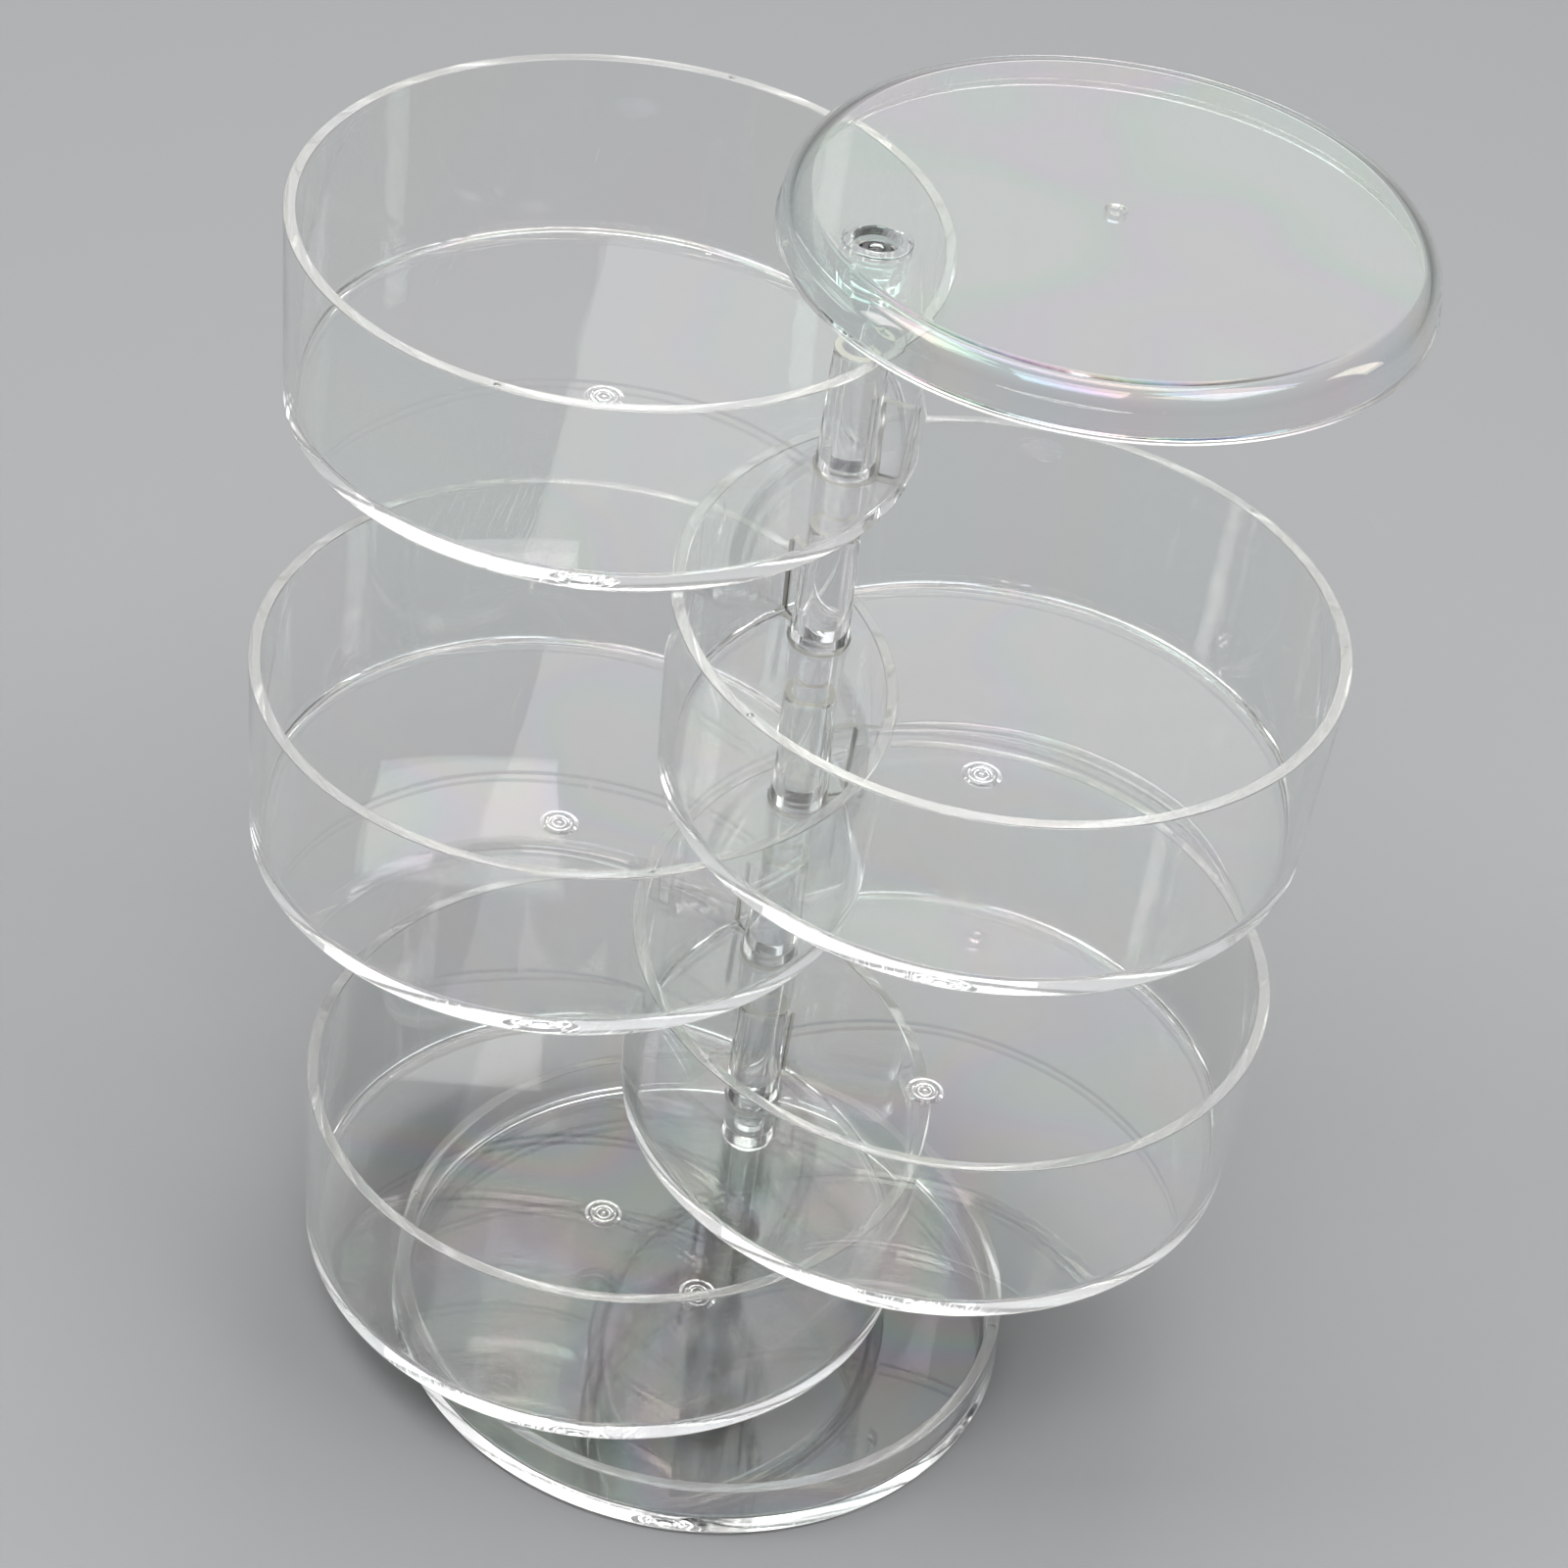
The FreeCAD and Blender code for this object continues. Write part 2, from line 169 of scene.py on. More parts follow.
def web_plate(name):
    """The upright plate from the sleeve to the tray's wall, flared where it meets each."""
    half = WEB_THICK / 2
    wide = half + WEB_FLARE
    sleeve_x = -(SLEEVE_TOP - 0.1)
    wall_x = -(TRAY_FOOT - WALL - PIVOT)
    draft = (TRAY_RIM - TRAY_FOOT) / TRAY_HEIGHT
    taper = (SLEEVE_FOOT - SLEEVE_TOP) / SLEEVE_HEIGHT
    quarter = [math.pi / 2 * step / WEB_FLARE_STEPS for step in range(WEB_FLARE_STEPS + 1)]
    sleeve_side = [(sleeve_x + 1.0, wide)]
    for angle in quarter:
        x = sleeve_x - WEB_FLARE * (1 - math.cos(angle))
        sleeve_side.append((x, wide - WEB_FLARE * math.sin(angle)))
    wall_side = []
    for angle in quarter:
        x = wall_x + WEB_FLARE * (1 - math.sin(angle))
        wall_side.append((x, wide - WEB_FLARE * math.cos(angle)))
    wall_side.append((wall_x - WALL / 2, wide))
    bm = bmesh.new()
    levels = []
    for z in (0.02 - PAD, WEB_HEIGHT):
        at_sleeve = [(x - taper * (SLEEVE_HEIGHT - z), y) for x, y in sleeve_side]
        at_wall = [(x - draft * z, y) for x, y in wall_side]
        side = at_sleeve + at_wall
        plan = side + [(x, -y) for x, y in reversed(side)]
        levels.append([bm.verts.new((x, y, z)) for x, y in plan])
    bm.faces.new(levels[0])
    high = bm.faces.new(levels[1])
    count = len(plan)
    for k in range(count):
        k2 = (k + 1) % count
        bm.faces.new((levels[0][k], levels[0][k2], levels[1][k2], levels[1][k]))
    bmesh.ops.recalc_face_normals(bm, faces=bm.faces)
    bmesh.ops.bevel(bm, geom=list(high.edges), offset=0.12, segments=2, affect="EDGES")
    mesh = bpy.data.meshes.new(name)
    bm.to_mesh(mesh)
    bm.free()
    return new_object(name, mesh)


def combine(piece, operation, tools):
    """One boolean after another, applied, and the tools removed."""
    for tool in tools:
        modifier = piece.modifiers.new("combine", "BOOLEAN")
        modifier.operation = operation
        modifier.solver = "EXACT"
        modifier.object = tool
        graph = bpy.context.evaluated_depsgraph_get()
        mesh = bpy.data.meshes.new_from_object(piece.evaluated_get(graph))
        piece.modifiers.clear()
        old = piece.data
        piece.data = mesh
        bpy.data.meshes.remove(old)
        bpy.data.objects.remove(tool)


def finish_mesh(piece):
    """Smooth shading that leaves the flats flat and the true corners crisp."""
    bm = bmesh.new()
    bm.from_mesh(piece.data)
    bmesh.ops.remove_doubles(bm, verts=bm.verts, dist=0.002)
    bmesh.ops.dissolve_degenerate(bm, edges=bm.edges, dist=0.001)
    bm.to_mesh(piece.data)
    bm.free()
    piece.data.shade_smooth()
    piece.data.set_sharp_from_angle(angle=math.radians(32))
    modifier = piece.modifiers.new("normals", "WEIGHTED_NORMAL")
    modifier.keep_sharp = True
    modifier.weight = 80
    graph = bpy.context.evaluated_depsgraph_get()
    mesh = bpy.data.meshes.new_from_object(piece.evaluated_get(graph))
    piece.modifiers.clear()
    piece.data = mesh


# ---------------------------------------------------------------- places, from the frame
def place_of(node):
    """(bearing, distance) of a round piece's middle from the rod, and its lowest and top height."""
    low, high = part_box(node)
    middle = (low + high) / 2
    bearing = math.atan2(middle.y, middle.x)
    return bearing, math.hypot(middle.x, middle.y) / MM, low.z / MM, high.z / MM


PIVOT = place_of("tray_1")[1]


# ---------------------------------------------------------------- the shapes
def gate_mark():
    """Half the outline of the moulding mark under a floor: a pip and a ring in a dished hollow."""
    return [
        (0.0, 0.30, 0),
        (0.35, 0.14, 0.2),
        (0.95, 0.10, 0.2),
        (1.15, 0.52, 0.15),
        (1.45, 0.52, 0.15),
        (1.75, 0.30, 0.2),
        (2.05, 0.62, 0.3),
        (2.45, 0.85, 0.4),
        (3.05, 0.0, 0.25),
    ]


def cup(name, height, foot, rim):
    draft = (rim - foot) / height
    inner = foot + draft * FLOOR - WALL
    outline = gate_mark() + [
        (foot, 0.0, CORNER_OUTSIDE),
        (rim, height, RIM_ROUND),
        (rim - WALL, height, RIM_ROUND),
        (inner, FLOOR, CORNER_INSIDE),
        (0.0, FLOOR, 0),
    ]
    return lathe(name, outline, (PIVOT, 0.0), ROUND)


def rim_dimples(height, rim):
    tools = []
    for side in (1, -1):
        tools.append(lathe("dimple", [
            (0.0, height - 0.3, 0),
            (0.5, height - 0.3, 0.2),
            (0.62, height + 0.4, 0),
            (0.0, height + 0.4, 0),
        ], (PIVOT, side * (rim - WALL / 2)), TINY_ROUND))
    return tools


def tray_mesh():
    piece = cup("tray", TRAY_HEIGHT, TRAY_FOOT, TRAY_RIM)
    sleeve = lathe("sleeve", [
        (0.0, -PAD, 0),
        (SLEEVE_FOOT, -PAD, 0.15),
        (SLEEVE_FOOT - 0.03, 0.9, 0),
        (SLEEVE_FOOT + 0.8, 1.2, 0),
        (SLEEVE_FOOT + 0.8, FLOOR - SUNK, 0),
        (SLEEVE_FOOT - 0.07, FLOOR - SUNK, 0.5),
        (SLEEVE_TOP, SLEEVE_HEIGHT, 0.15),
        (0.0, SLEEVE_HEIGHT, 0),
    ])
    nubs = []
    for side in (1, -1):
        nubs.append(lathe("nub", [
            (0.0, -PAD, 0),
            (NUB, -PAD, 0.18),
            (NUB, 0.9, 0),
            (0.0, 0.9, 0),
        ], (PIVOT, side * NUB_CIRCLE), TINY_ROUND))
    combine(piece, "UNION", [sleeve, web_plate("web")] + nubs)
    bore = lathe("bore", [
        (0.0, -PAD - 1, 0),
        (BORE, -PAD - 1, 0),
        (BORE, SLEEVE_HEIGHT - BORE_MOUTH_DEPTH, 0),
        (BORE_MOUTH, SLEEVE_HEIGHT, 0),
        (BORE_MOUTH, SLEEVE_HEIGHT + 1, 0),
        (0.0, SLEEVE_HEIGHT + 1, 0),
    ])
    combine(piece, "DIFFERENCE", [bore] + rim_dimples(TRAY_HEIGHT, TRAY_RIM))
    finish_mesh(piece)
    return piece


def base_mesh():
    piece = cup("base_dish", BASE_HEIGHT, BASE_FOOT, BASE_RIM)
    boss = lathe("boss", [
        (0.0, 1.0, 0),
        (5.4, 1.0, 0),
        (5.4, FLOOR - SUNK, 0),
        (4.6, FLOOR - SUNK, 0.5),
        (4.2, BOSS_HEIGHT, 0.25),
        (0.0, BOSS_HEIGHT, 0),
    ])
    combine(piece, "UNION", [boss])
    socket = lathe("socket", [
        (0.0, SOCKET_FLOOR, 0),
        (ROD - 0.26, SOCKET_FLOOR, 0),
        (ROD + SOCKET_GAP, SOCKET_FLOOR + 0.3, 0),
        (ROD + SOCKET_GAP, BOSS_HEIGHT - 0.4, 0),
        (ROD + 0.35, BOSS_HEIGHT + 0.1, 0),
        (0.0, BOSS_HEIGHT + 0.1, 0),
    ])
    combine(piece, "DIFFERENCE", [socket] + rim_dimples(BASE_HEIGHT, BASE_RIM))
    finish_mesh(piece)
    return piece


def lid_mesh():
    top = LID_HEIGHT
    piece = lathe("lid_shell", [
        (0.0, top - 0.22, 0),
        (0.5, top - 0.12, 0.2),
        (0.95, top - 0.42, 0.2),
        (1.3, top - 0.42, 0.2),
        (1.75, top, 0.2),
        (LID_SHOULDER_OUT, top, 4.5),
        (LID_SKIRT, LID_BEAD_HEIGHT + 0.35, 0.2),
        (LID_BEAD, LID_BEAD_HEIGHT, 0.25),
        (LID_BEAD, 0.0, 0.25),
        (LID_BEAD - WALL, 0.0, 0.3),
        (LID_SHOULDER_OUT - LID_WALL, top - LID_WALL, 2.7),
        (0.0, top - LID_WALL, 0),
    ], (PIVOT, 0.0), ROUND)
    collar = lathe("collar", [
        (0.0, 0.0, 0),
        (COLLAR - 0.4, 0.0, 0.25),
        (COLLAR - 0.3, COLLAR_CROWN - WELL_DEPTH - 0.3, 0.1),
        (COLLAR, COLLAR_CROWN - WELL_DEPTH, 0.1),
        (COLLAR, COLLAR_CROWN, 0.25),
        (0.0, COLLAR_CROWN, 0),
    ])
    combine(piece, "UNION", [collar])
    well = COLLAR_CROWN - WELL_DEPTH
    bore = lathe("bore", [
        (0.0, -1.0, 0),
        (BORE, -1.0, 0),
        (BORE, well, 0),
        (WELL - 0.05, well, 0.15),
        (WELL, COLLAR_CROWN - 0.25, 0),
        (WELL + 0.25, COLLAR_CROWN + 0.05, 0),
        (WELL + 0.25, COLLAR_CROWN + 1, 0),
        (0.0, COLLAR_CROWN + 1, 0),
    ])
    combine(piece, "DIFFERENCE", [bore])
    finish_mesh(piece)
    return piece


def rod_mesh():
    low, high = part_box("centre_rod")
    foot, crown = low.z / MM, high.z / MM
    under_head = crown - ROD_HEAD_HEIGHT
    piece = lathe("rod", [
        (0.0, foot, 0),
        (ROD - 0.3, foot, 0),
        (ROD, foot + 0.3, 0),
        (ROD, under_head, 0),
        (ROD_HEAD, under_head, 0.15),
        (ROD_HEAD, under_head + 0.45, 0.25),
        (ROD_HEAD - 0.8, crown, 0.35),
        (1.25, crown, 0.3),
        (0.95, crown - 0.42, 0.25),
        (0.5, crown - 0.42, 0.2),
        (0.0, crown - 0.2, 0),
    ])
    finish_mesh(piece)
    return piece


# ---------------------------------------------------------------- materials
def node(tree, kind, **values):
    made = tree.nodes.new(kind)
    for key, value in values.items():
        setattr(made, key, value)
    return made


def ramp(tree, stops):
    made = tree.nodes.new("ShaderNodeValToRGB")
    elements = made.color_ramp.elements
    while len(elements) < len(stops):
        elements.new(0.5)
    for element, (at, colour) in zip(elements, stops):
        element.position = at
        element.color = (*colour, 1.0)
    return made


def noise(tree, source, scale, detail=2.0, stretch=None, turn=0.0):
    """Noise in metres; stretch squeezes its axes, turn rotates it about +Z."""
    mapping = node(tree, "ShaderNodeMapping")
    mapping.inputs["Scale"].default_value = stretch or (1.0, 1.0, 1.0)
    mapping.inputs["Rotation"].default_value = (0.0, 0.0, turn)
    made = node(tree, "ShaderNodeTexNoise")
    made.inputs["Scale"].default_value = scale
    made.inputs["Detail"].default_value = detail
    tree.links.new(source, mapping.inputs["Vector"])
    tree.links.new(mapping.outputs["Vector"], made.inputs["Vector"])
    return made


PLASTIC_IOR = 1.58

# how strongly the rainbow of the frozen-in stress is painted into the plastic's colour as sheen, most
# of all in the lid, and what each band takes away of red, green and blue; the real stress shows these
# colours only in reflected light
PAINTED_SHEEN = 0.02
LID_PAINTED_SHEEN = 0.07
PAINTED_SHEEN_BANDS = (
    (0.30, (0.7, 0.0, 0.3)),
    (0.42, (0.0, 1.0, 0.5)),
    (0.50, (1.0, 0.5, 0.0)),
    (0.58, (0.0, 0.4, 1.0)),
    (0.70, (0.8, 0.0, 0.2)),
)


STRESS_SPREAD = 0.34      # the share of the quartered pattern, against the clouds
STRESS_CORE = 0.0002      # square metres: how gently the pattern starts at the moulding mark
FILM_THIN = 250.0         # nanometres, of the film that gives reflections their colours
FILM_THICK = 720.0
SCRATCH_SCALE = 4000.0
SCRATCH_TURNS = (0.5, 2.1)
SCRATCH_ROUGH = 0.2
DUST_SCALE = 110.0
WAVE_SCALE = 30.0


def maths(tree, operation, *terms):
    """A Math node over sockets and plain numbers; gives its output socket."""
    made = node(tree, "ShaderNodeMath", operation=operation)
    for socket, term in zip(made.inputs, terms):
        if isinstance(term, (int, float)):
            socket.default_value = term
        else:
            tree.links.new(term, socket)
    return made.outputs["Value"]


def middle_of(cad_node):
    """A CAD node's middle, seen from above, in metres."""
    low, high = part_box(cad_node)
    return (low.x + high.x) / 2, (low.y + high.y) / 2


def clear_plastic(name, seed, middle, tint=(0.985, 0.99, 0.985), base_rough=0.012, wave=0.06,
                  sheen_strength=PAINTED_SHEEN, film_ior=1.54):
    """Clear polystyrene: faint colour bands of moulding stress painted in as a rainbow sheen, slow
    waves and fine scratches.
    """
    material = bpy.data.materials.new(name)
    material.use_nodes = True
    tree = material.node_tree
    tree.nodes.clear()
    output = node(tree, "ShaderNodeOutputMaterial")
    shader = node(tree, "ShaderNodeBsdfPrincipled")
    tree.links.new(shader.outputs["BSDF"], output.inputs["Surface"])
    shader.inputs["Transmission Weight"].default_value = 1.0
    shader.inputs["IOR"].default_value = PLASTIC_IOR
    shader.inputs["Thin Film IOR"].default_value = film_ior

    place = node(tree, "ShaderNodeTexCoord")
    shift = node(tree, "ShaderNodeVectorMath", operation="ADD")
    shift.inputs[1].default_value = (seed * 0.37, seed * 0.19, seed * 0.53)
    tree.links.new(place.outputs["Object"], shift.inputs[0])
    here = shift.outputs["Vector"]

    # stress frozen in round the moulding mark: opposite quarters of the disc share a colour, a painted
    # sheen of the stress rainbow
    about = node(tree, "ShaderNodeVectorMath", operation="SUBTRACT")
    about.inputs[1].default_value = (middle[0], middle[1], 0.0)
    tree.links.new(place.outputs["Object"], about.inputs[0])
    parts = node(tree, "ShaderNodeSeparateXYZ")
    tree.links.new(about.outputs["Vector"], parts.inputs["Vector"])
    across = maths(tree, "MULTIPLY", parts.outputs["X"], parts.outputs["Y"])
    squares = maths(tree, "MULTIPLY", parts.outputs["X"], parts.outputs["X"])
    reach = maths(tree, "MULTIPLY_ADD", parts.outputs["Y"], parts.outputs["Y"], squares)
    quarter = maths(tree, "DIVIDE", across, maths(tree, "ADD", reach, STRESS_CORE))
    cloud = noise(tree, here, 22.0, 1.0, (1.0, 1.0, 0.5))
    stress = maths(tree, "MULTIPLY_ADD", quarter, STRESS_SPREAD, cloud.outputs["Fac"])
    # painted sheen: the rainbow that the stress shows in reflected light, put into the base colour
    sheen_bands = ramp(tree, [(at, [full * (1 - sheen_strength * less) for full, less in zip(tint, loss)])
                        for at, loss in PAINTED_SHEEN_BANDS])
    tree.links.new(stress, sheen_bands.inputs["Fac"])
    tree.links.new(sheen_bands.outputs["Color"], shader.inputs["Base Color"])

    film = node(tree, "ShaderNodeMapRange")
    film.inputs["From Min"].default_value = 0.3
    film.inputs["From Max"].default_value = 0.7
    film.inputs["To Min"].default_value = FILM_THIN
    film.inputs["To Max"].default_value = FILM_THICK
    tree.links.new(stress, film.inputs["Value"])
    tree.links.new(film.outputs["Result"], shader.inputs["Thin Film Thickness"])

    # fine hairline scratches in two directions, and rare specks of dust
    lines = []
    for turn in SCRATCH_TURNS:
        streak = noise(tree, here, SCRATCH_SCALE, 0.0, (1.0, 0.02, 1.0), turn)
        keep = ramp(tree, [(0.74, (0.0,) * 3), (0.80, (1.0,) * 3)])
        tree.links.new(streak.outputs["Fac"], keep.inputs["Fac"])
        lines.append(keep)
    both = maths(tree, "MAXIMUM", lines[0].outputs["Color"], lines[1].outputs["Color"])
    where = ramp(tree, [(0.50, (0.0,) * 3), (0.62, (1.0,) * 3)])
    tree.links.new(cloud.outputs["Fac"], where.inputs["Fac"])
    scratched = maths(tree, "MULTIPLY", both, where.outputs["Color"])
    cells = node(tree, "ShaderNodeTexVoronoi")
    cells.inputs["Scale"].default_value = DUST_SCALE
    tree.links.new(here, cells.inputs["Vector"])
    dust = ramp(tree, [(0.018, (1.0,) * 3), (0.026, (0.0,) * 3)])
    tree.links.new(cells.outputs["Distance"], dust.inputs["Fac"])
    marks = maths(tree, "MAXIMUM", scratched, dust.outputs["Color"])
    rough = node(tree, "ShaderNodeMapRange")
    rough.inputs["To Min"].default_value = base_rough
    rough.inputs["To Max"].default_value = SCRATCH_ROUGH
    tree.links.new(marks, rough.inputs["Value"])
    tree.links.new(rough.outputs["Result"], shader.inputs["Roughness"])

    waves = noise(tree, here, WAVE_SCALE, 0.0, (1.0, 1.0, 0.45))
    bump = node(tree, "ShaderNodeBump")
    bump.inputs["Strength"].default_value = wave
    bump.inputs["Distance"].default_value = 0.002
    tree.links.new(waves.outputs["Fac"], bump.inputs["Height"])
    tree.links.new(bump.outputs["Normal"], shader.inputs["Normal"])
    return material


# the two colours of painted highlight that a narrow face varies between: rims and lower edges, then
# sleeve and web
COOL_PAINTED_HIGHLIGHT = ((0.97, 0.97, 0.95), (1.0, 0.985, 0.93))
CREAM_PAINTED_HIGHLIGHT = ((0.95, 0.93, 0.84), (1.0, 0.97, 0.85))


def painted_highlight_plastic(name, seed, clearness=0.85, shades=COOL_PAINTED_HIGHLIGHT):
    """Painted highlight on narrow faces where light gathers in the moulding: made a little milky and
    warm so that they read bright.
    """
    material = bpy.data.materials.new(name)
    material.use_nodes = True
    tree = material.node_tree
    tree.nodes.clear()
    output = node(tree, "ShaderNodeOutputMaterial")
    shader = node(tree, "ShaderNodeBsdfPrincipled")
    tree.links.new(shader.outputs["BSDF"], output.inputs["Surface"])
    shader.inputs["Transmission Weight"].default_value = clearness
    shader.inputs["IOR"].default_value = PLASTIC_IOR
    place = node(tree, "ShaderNodeTexCoord")
    shift = node(tree, "ShaderNodeVectorMath", operation="ADD")
    shift.inputs[1].default_value = (seed * 0.41, seed * 0.23, seed * 0.31)
    tree.links.new(place.outputs["Object"], shift.inputs[0])
    cloud = noise(tree, shift.outputs["Vector"], 60.0, 4.0)
    warm = ramp(tree, [(0.35, shades[0]), (0.65, shades[1])])
    tree.links.new(cloud.outputs["Fac"], warm.inputs["Fac"])
    tree.links.new(warm.outputs["Color"], shader.inputs["Base Color"])
    grain = noise(tree, shift.outputs["Vector"], 900.0, 3.0)
    rough = node(tree, "ShaderNodeMapRange")
    rough.inputs["To Min"].default_value = 0.04
    rough.inputs["To Max"].default_value = 0.16
    tree.links.new(grain.outputs["Fac"], rough.inputs["Value"])
    tree.links.new(rough.outputs["Result"], shader.inputs["Roughness"])
    return material


def dress(piece, materials, choose):
    """A piece's materials; choose(middle, normal), in mm, gives each face's place in the list."""
    piece.data.materials.clear()
    for material in materials:
        piece.data.materials.append(material)
    for face in piece.data.polygons:
        face.material_index = choose(face.center, face.normal)


def put(piece, name, cad_node, body, lift):
    """Turns, lifts and scales a finished piece into the row frame, and ties it to its body."""
    bearing = 0.0 if cad_node == "centre_rod" else place_of(cad_node)[0]
    place = Matrix.Scale(MM, 4) @ Matrix.Translation((0, 0, lift)) @ Matrix.Rotation(bearing, 4, "Z")
    piece.data.transform(place)
    piece.name = name
    piece.data.name = name
    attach(piece, body)
    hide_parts(cad_node)
    return piece


def outer_corner(at, normal, foot):
    """True on the rounded lower edge of a dish."""
    reach = math.hypot(at.x - PIVOT, at.y)
    return reach > foot - CORNER_OUTSIDE and at.z < CORNER_OUTSIDE and -0.97 < normal.z < -0.05


def base_faces(at, normal):
    """1 on the rim and the lower edge, which get painted highlight; 0 elsewhere."""
    rim = at.z > BASE_HEIGHT - RIM_ROUND
    return int(rim or outer_corner(at, normal, BASE_FOOT))


def lid_faces(at, normal):
    """1 on the bead along the skirt's lower edge, which gets painted highlight; 0 elsewhere."""
    return int(at.z < LID_BEAD_HEIGHT and math.hypot(at.x - PIVOT, at.y) > LID_BEAD - 0.15)


def tray_faces(at, normal):
    """1 on the rim and the lower edge, 2 on the edges of sleeve and web, both painted highlight; 0
    elsewhere.
    """
    if at.z > TRAY_HEIGHT - RIM_ROUND or outer_corner(at, normal, TRAY_FOOT):
        return 1
    if math.hypot(at.x, at.y) > NEAR_ROD:
        return 0
    facing_up = normal.z > 0.6
    sleeve_end = abs(at.z - SLEEVE_HEIGHT) < 0.1 and facing_up
    web_top = abs(at.z - WEB_HEIGHT) < 0.15 and facing_up
    under = at.z < -PAD + 0.1 and normal.z < -0.6
    flare = at.x < -SLEEVE_TOP and abs(normal.z) < 0.3 and 0 < at.z < WEB_HEIGHT
    flare = flare and 0.02 < abs(at.y) - WEB_THICK / 2 < WEB_FLARE
    return 2 if sleeve_end or web_top or under or flare else 0


# ---------------------------------------------------------------- build and place
tray = tray_mesh()
TRAYS = ("tray_1", "tray_2", "tray_3", "tray_4", "tray_5")
for seed, cad_node in enumerate(TRAYS, start=1):
    piece = tray.copy()
    piece.data = tray.data.copy()
    bpy.context.scene.collection.objects.link(piece)
    # the second and third materials paint a highlight on rims, lower edges, sleeve and web
    dress(piece, (clear_plastic("clear_" + cad_node, seed, middle_of(cad_node)),
                  painted_highlight_plastic("painted_highlight_" + cad_node, seed),
                  painted_highlight_plastic("web_painted_highlight_" + cad_node, seed, 0.35, CREAM_PAINTED_HIGHLIGHT)), tray_faces)
    lift = place_of(cad_node)[2] + PAD
    put(piece, cad_node + "_moulding", cad_node, cad_node + "_body", lift)
bpy.data.objects.remove(tray)

base = base_mesh()
# the second material paints a highlight on rim and lower edge
dress(base, (clear_plastic("clear_base", 7, middle_of("base")),
             painted_highlight_plastic("painted_highlight_base", 7)), base_faces)
put(base, "base_moulding", "base", "stand", 0.0)

lid = lid_mesh()
# the second material paints a highlight on the bead
dress(lid, (clear_plastic("clear_lid", 8, middle_of("lid"), wave=0.03, sheen_strength=LID_PAINTED_SHEEN,
                          film_ior=1.5),
            painted_highlight_plastic("painted_highlight_lid", 8)), lid_faces)
put(lid, "lid_moulding", "lid", "lid_body", place_of("lid")[2])

rod = rod_mesh()
dress(rod, (clear_plastic("clear_centre_rod", 9, (0.0, 0.0), (0.97, 0.98, 0.99), 0.02, 0.02),),
      lambda at, normal: 0)
put(rod, "centre_rod_turned", "centre_rod", "stand", 0.0)


# ---------------------------------------------------------------- floor, lights, camera
def stage_floor():
    bm = bmesh.new()
    bmesh.ops.create_grid(bm, x_segments=1, y_segments=1, size=6.0)
    mesh = bpy.data.meshes.new("floor")
    bm.to_mesh(mesh)
    bm.free()
    floor = new_object("floor", mesh)
    floor.location.z = -0.0003
    material = bpy.data.materials.new("pale_floor")
    material.use_nodes = True
    shader = material.node_tree.nodes["Principled BSDF"]
    shader.inputs["Base Color"].default_value = (0.235, 0.238, 0.241, 1.0)
    shader.inputs["Roughness"].default_value = 0.6
    mesh.materials.append(material)


def softbox(name, at, width, height, power, aim=(-0.01, 0.0, 0.08)):
    light = bpy.data.lights.new(name, "AREA")
    light.shape = "RECTANGLE"
    light.size = width
    light.size_y = height
    light.energy = power
    made = bpy.data.objects.new(name, light)
    made.location = at
    toward = Vector(aim) - Vector(at)
    made.rotation_euler = toward.to_track_quat("-Z", "Y").to_euler()
    bpy.context.scene.collection.objects.link(made)
    return made


stage_floor()
softbox("top_panel", (0.12, 0.8, 0.72), 0.65, 0.5, 0.7)
softbox("window", (-0.25, 0.93, 0.88), 0.1, 0.06, 0.025)
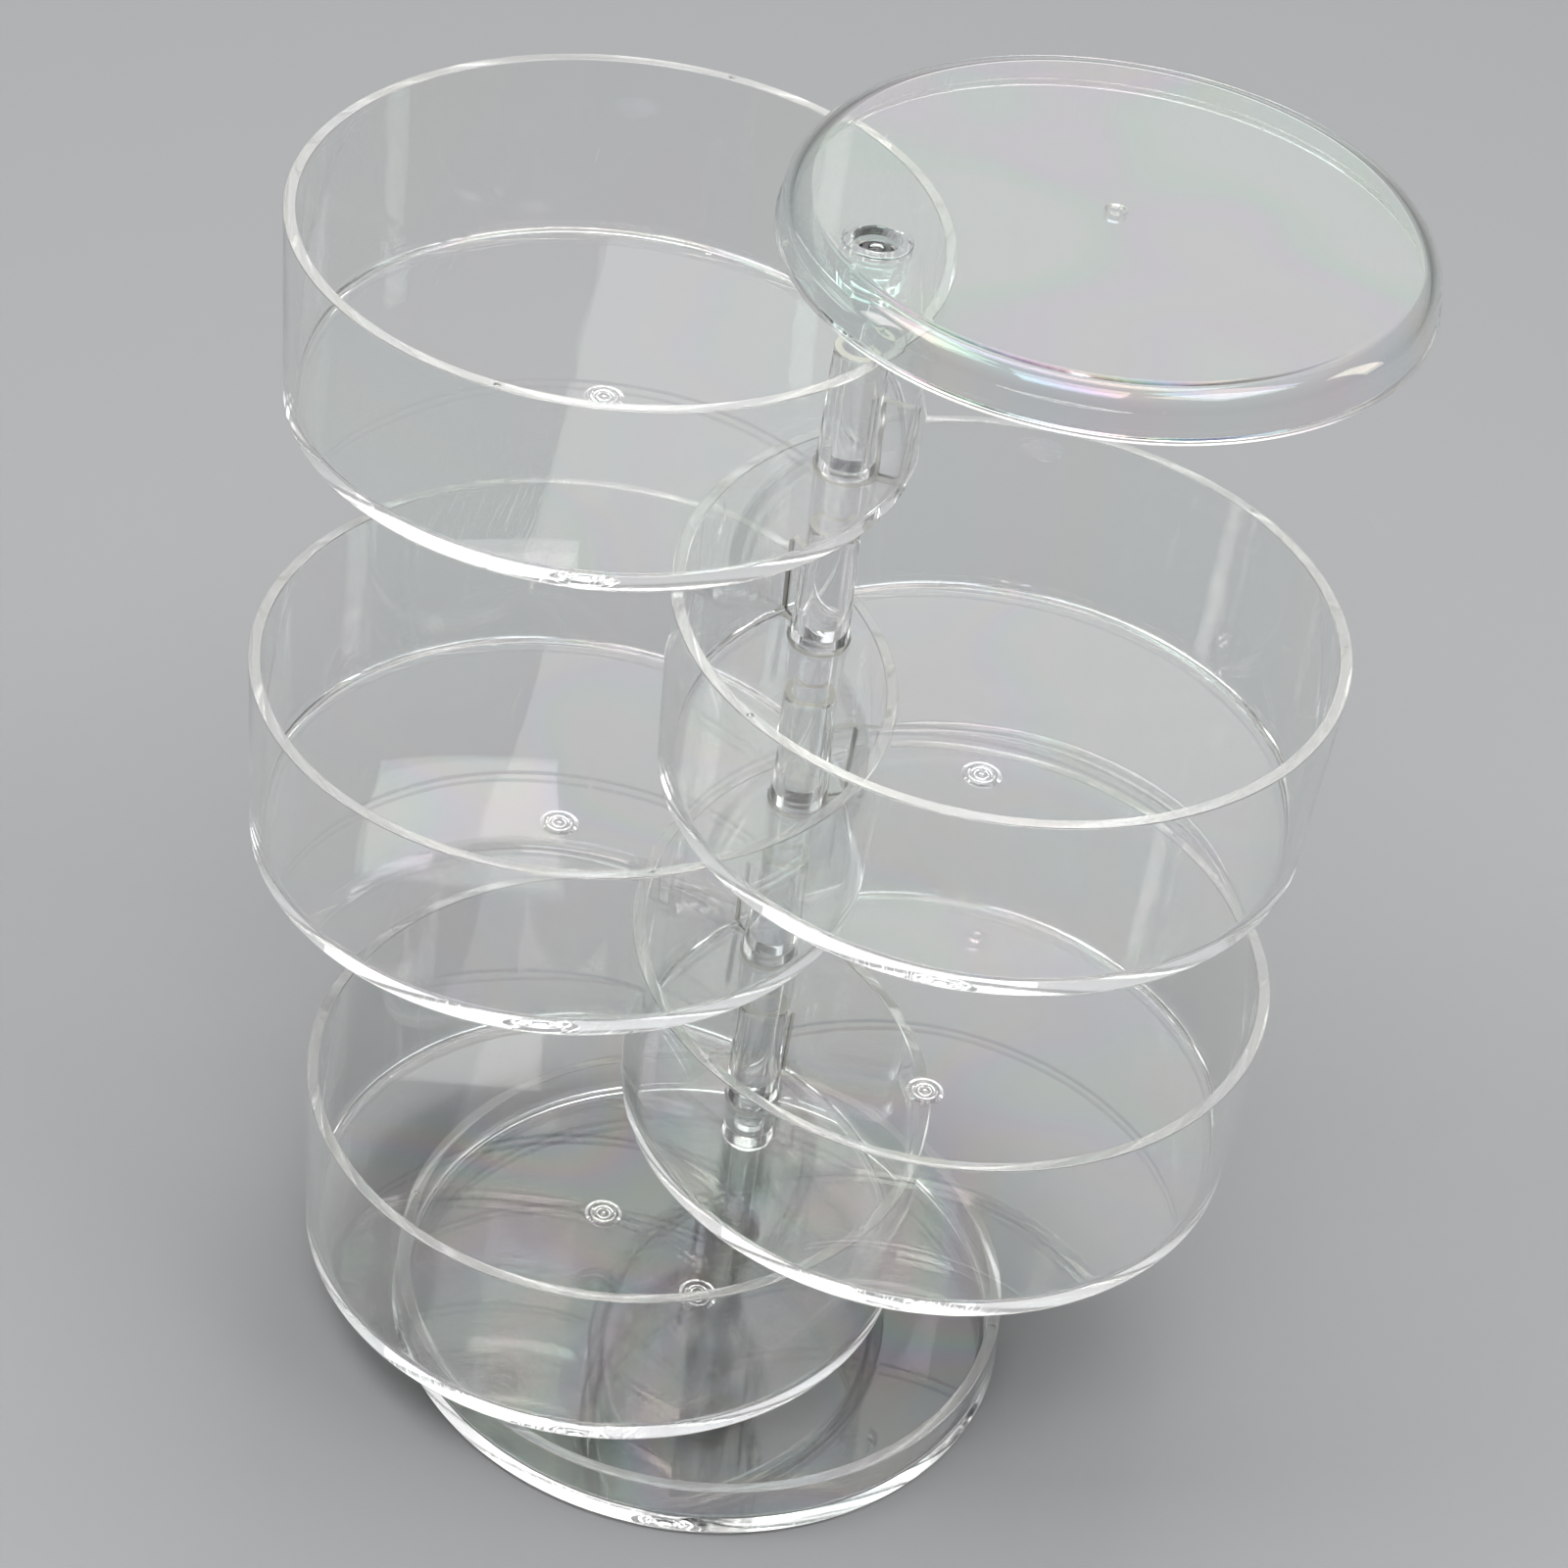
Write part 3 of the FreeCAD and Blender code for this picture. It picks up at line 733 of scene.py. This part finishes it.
# four soft panels round the object, high enough that no flat floor mirrors them from the side
# and low enough that none does from above
PANEL_HEIGHT = 1.05
PANEL_REACH = 0.52
PANELS = (
    ("back_panel", 96, 2.8),
    ("left_panel", 190, 3.4),
    ("front_panel", 270, 3.4),
    ("right_panel", 350, 3.2),
)
for name, bearing, power in PANELS:
    angle = math.radians(bearing)
    spot = (PANEL_REACH * math.cos(angle), PANEL_REACH * math.sin(angle), PANEL_HEIGHT)
    softbox(name, spot, 0.5, 0.42, power)
softbox("left_strip", (-1.15, -0.35, 0.62), 0.2, 0.7, 1.8)
softbox("right_strip", (1.15, 0.3, 0.62), 0.2, 0.7, 1.6)

world = bpy.data.worlds.new("studio")
bpy.context.scene.world = world
world.use_nodes = True
sky = world.node_tree
background = sky.nodes["Background"]
background.inputs["Strength"].default_value = 1.0
direction = node(sky, "ShaderNodeTexCoord")
parts = node(sky, "ShaderNodeSeparateXYZ")
sky.links.new(direction.outputs["Generated"], parts.inputs["Vector"])
height = ramp(sky, [(0.0, (0.2, 0.203, 0.207)), (0.3, (0.35, 0.353, 0.358)),
                    (0.65, (0.7, 0.706, 0.712)), (0.9, (1.5, 1.51, 1.52))])
sky.links.new(parts.outputs["Z"], height.inputs["Fac"])
sky.links.new(height.outputs["Color"], background.inputs["Color"])


def place_camera():
    azimuth = math.radians(7.6)
    elevation = math.radians(39.17)
    roll = math.radians(7.24)
    distance = 0.6649
    target = Vector((-0.0176, -0.00235, 0.07015))
    forward = Vector((-math.sin(azimuth) * math.cos(elevation),
                      math.cos(azimuth) * math.cos(elevation),
                      -math.sin(elevation)))
    level = Vector((math.cos(azimuth), math.sin(azimuth), 0.0))
    above = level.cross(forward)
    right = level * math.cos(roll) + above * math.sin(roll)
    up = above * math.cos(roll) - level * math.sin(roll)
    camera = bpy.data.cameras.new("camera")
    camera.sensor_width = 36.0
    camera.lens = 94.34
    camera.shift_x = 0.066
    camera.shift_y = 0.0225
    camera.clip_start = 0.01
    made = bpy.data.objects.new("camera", camera)
    bpy.context.scene.collection.objects.link(made)
    axes = Matrix((right, up, -forward)).transposed().to_4x4()
    made.matrix_world = Matrix.Translation(target - forward * distance) @ axes
    bpy.context.scene.camera = made


place_camera()

# light is guided round inside the plates, so a ray may turn many times before it leaves
BOUNCES = 48
scene = bpy.context.scene
scene.cycles.max_bounces = BOUNCES
scene.cycles.transmission_bounces = BOUNCES
scene.cycles.glossy_bounces = BOUNCES
scene.cycles.diffuse_bounces = 3
scene.cycles.transparent_max_bounces = 40
scene.view_settings.view_transform = "Standard"
scene.view_settings.look = "None"
